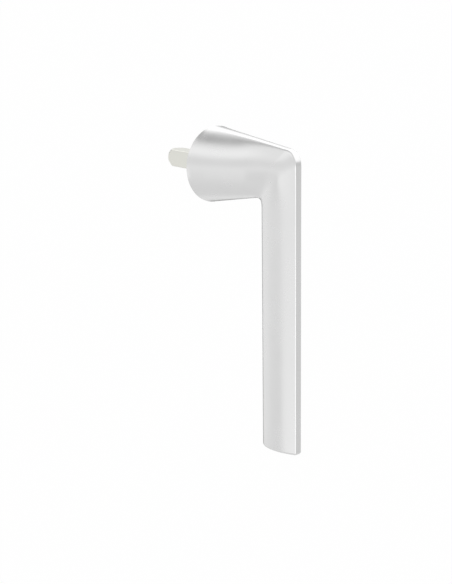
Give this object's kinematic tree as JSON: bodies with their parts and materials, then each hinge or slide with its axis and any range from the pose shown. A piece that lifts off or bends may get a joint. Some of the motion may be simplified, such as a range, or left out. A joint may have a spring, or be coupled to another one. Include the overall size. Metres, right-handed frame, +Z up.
{
  "type": "window handle",
  "caption": "Window handle with a conical neck and a straight lever with a narrow front flat, turning on a hidden screwed base and driving a square spindle",
  "frame": {"origin": "where the spindle axis meets the window face", "axes": "+X to the right seen from the room, +Y into the window, +Z up; the lever hangs along -Z"},
  "size_m": [0.0312, 0.0746, 0.1292],
  "materials": {
    "satin_silver": "satin silver, fine matt",
    "plated_steel": "zinc plated",
    "zinc_casting": "die-cast zinc alloy",
    "spring_steel": "cold-rolled strip",
    "slide_plastic": "moulded acetal"
  },
  "bodies": {
    "base": {"fixing_base": "zinc_casting", "detent_spring": "spring_steel", "spring_cover": "spring_steel", "fixing_screws": "plated_steel"},
    "handle": {"handle_body": "satin_silver", "spindle": "plated_steel", "retaining_screw": "plated_steel", "slide_ring": "slide_plastic"}
  },
  "joints": [
    {"name": "handle_turn", "type": "hinge", "parent": "base", "child": "handle", "pos_m": [0, 0, 0], "axis": [0, 1, 0], "range_deg": [0, 180], "deforming": ["detent_spring"]}
  ]
}
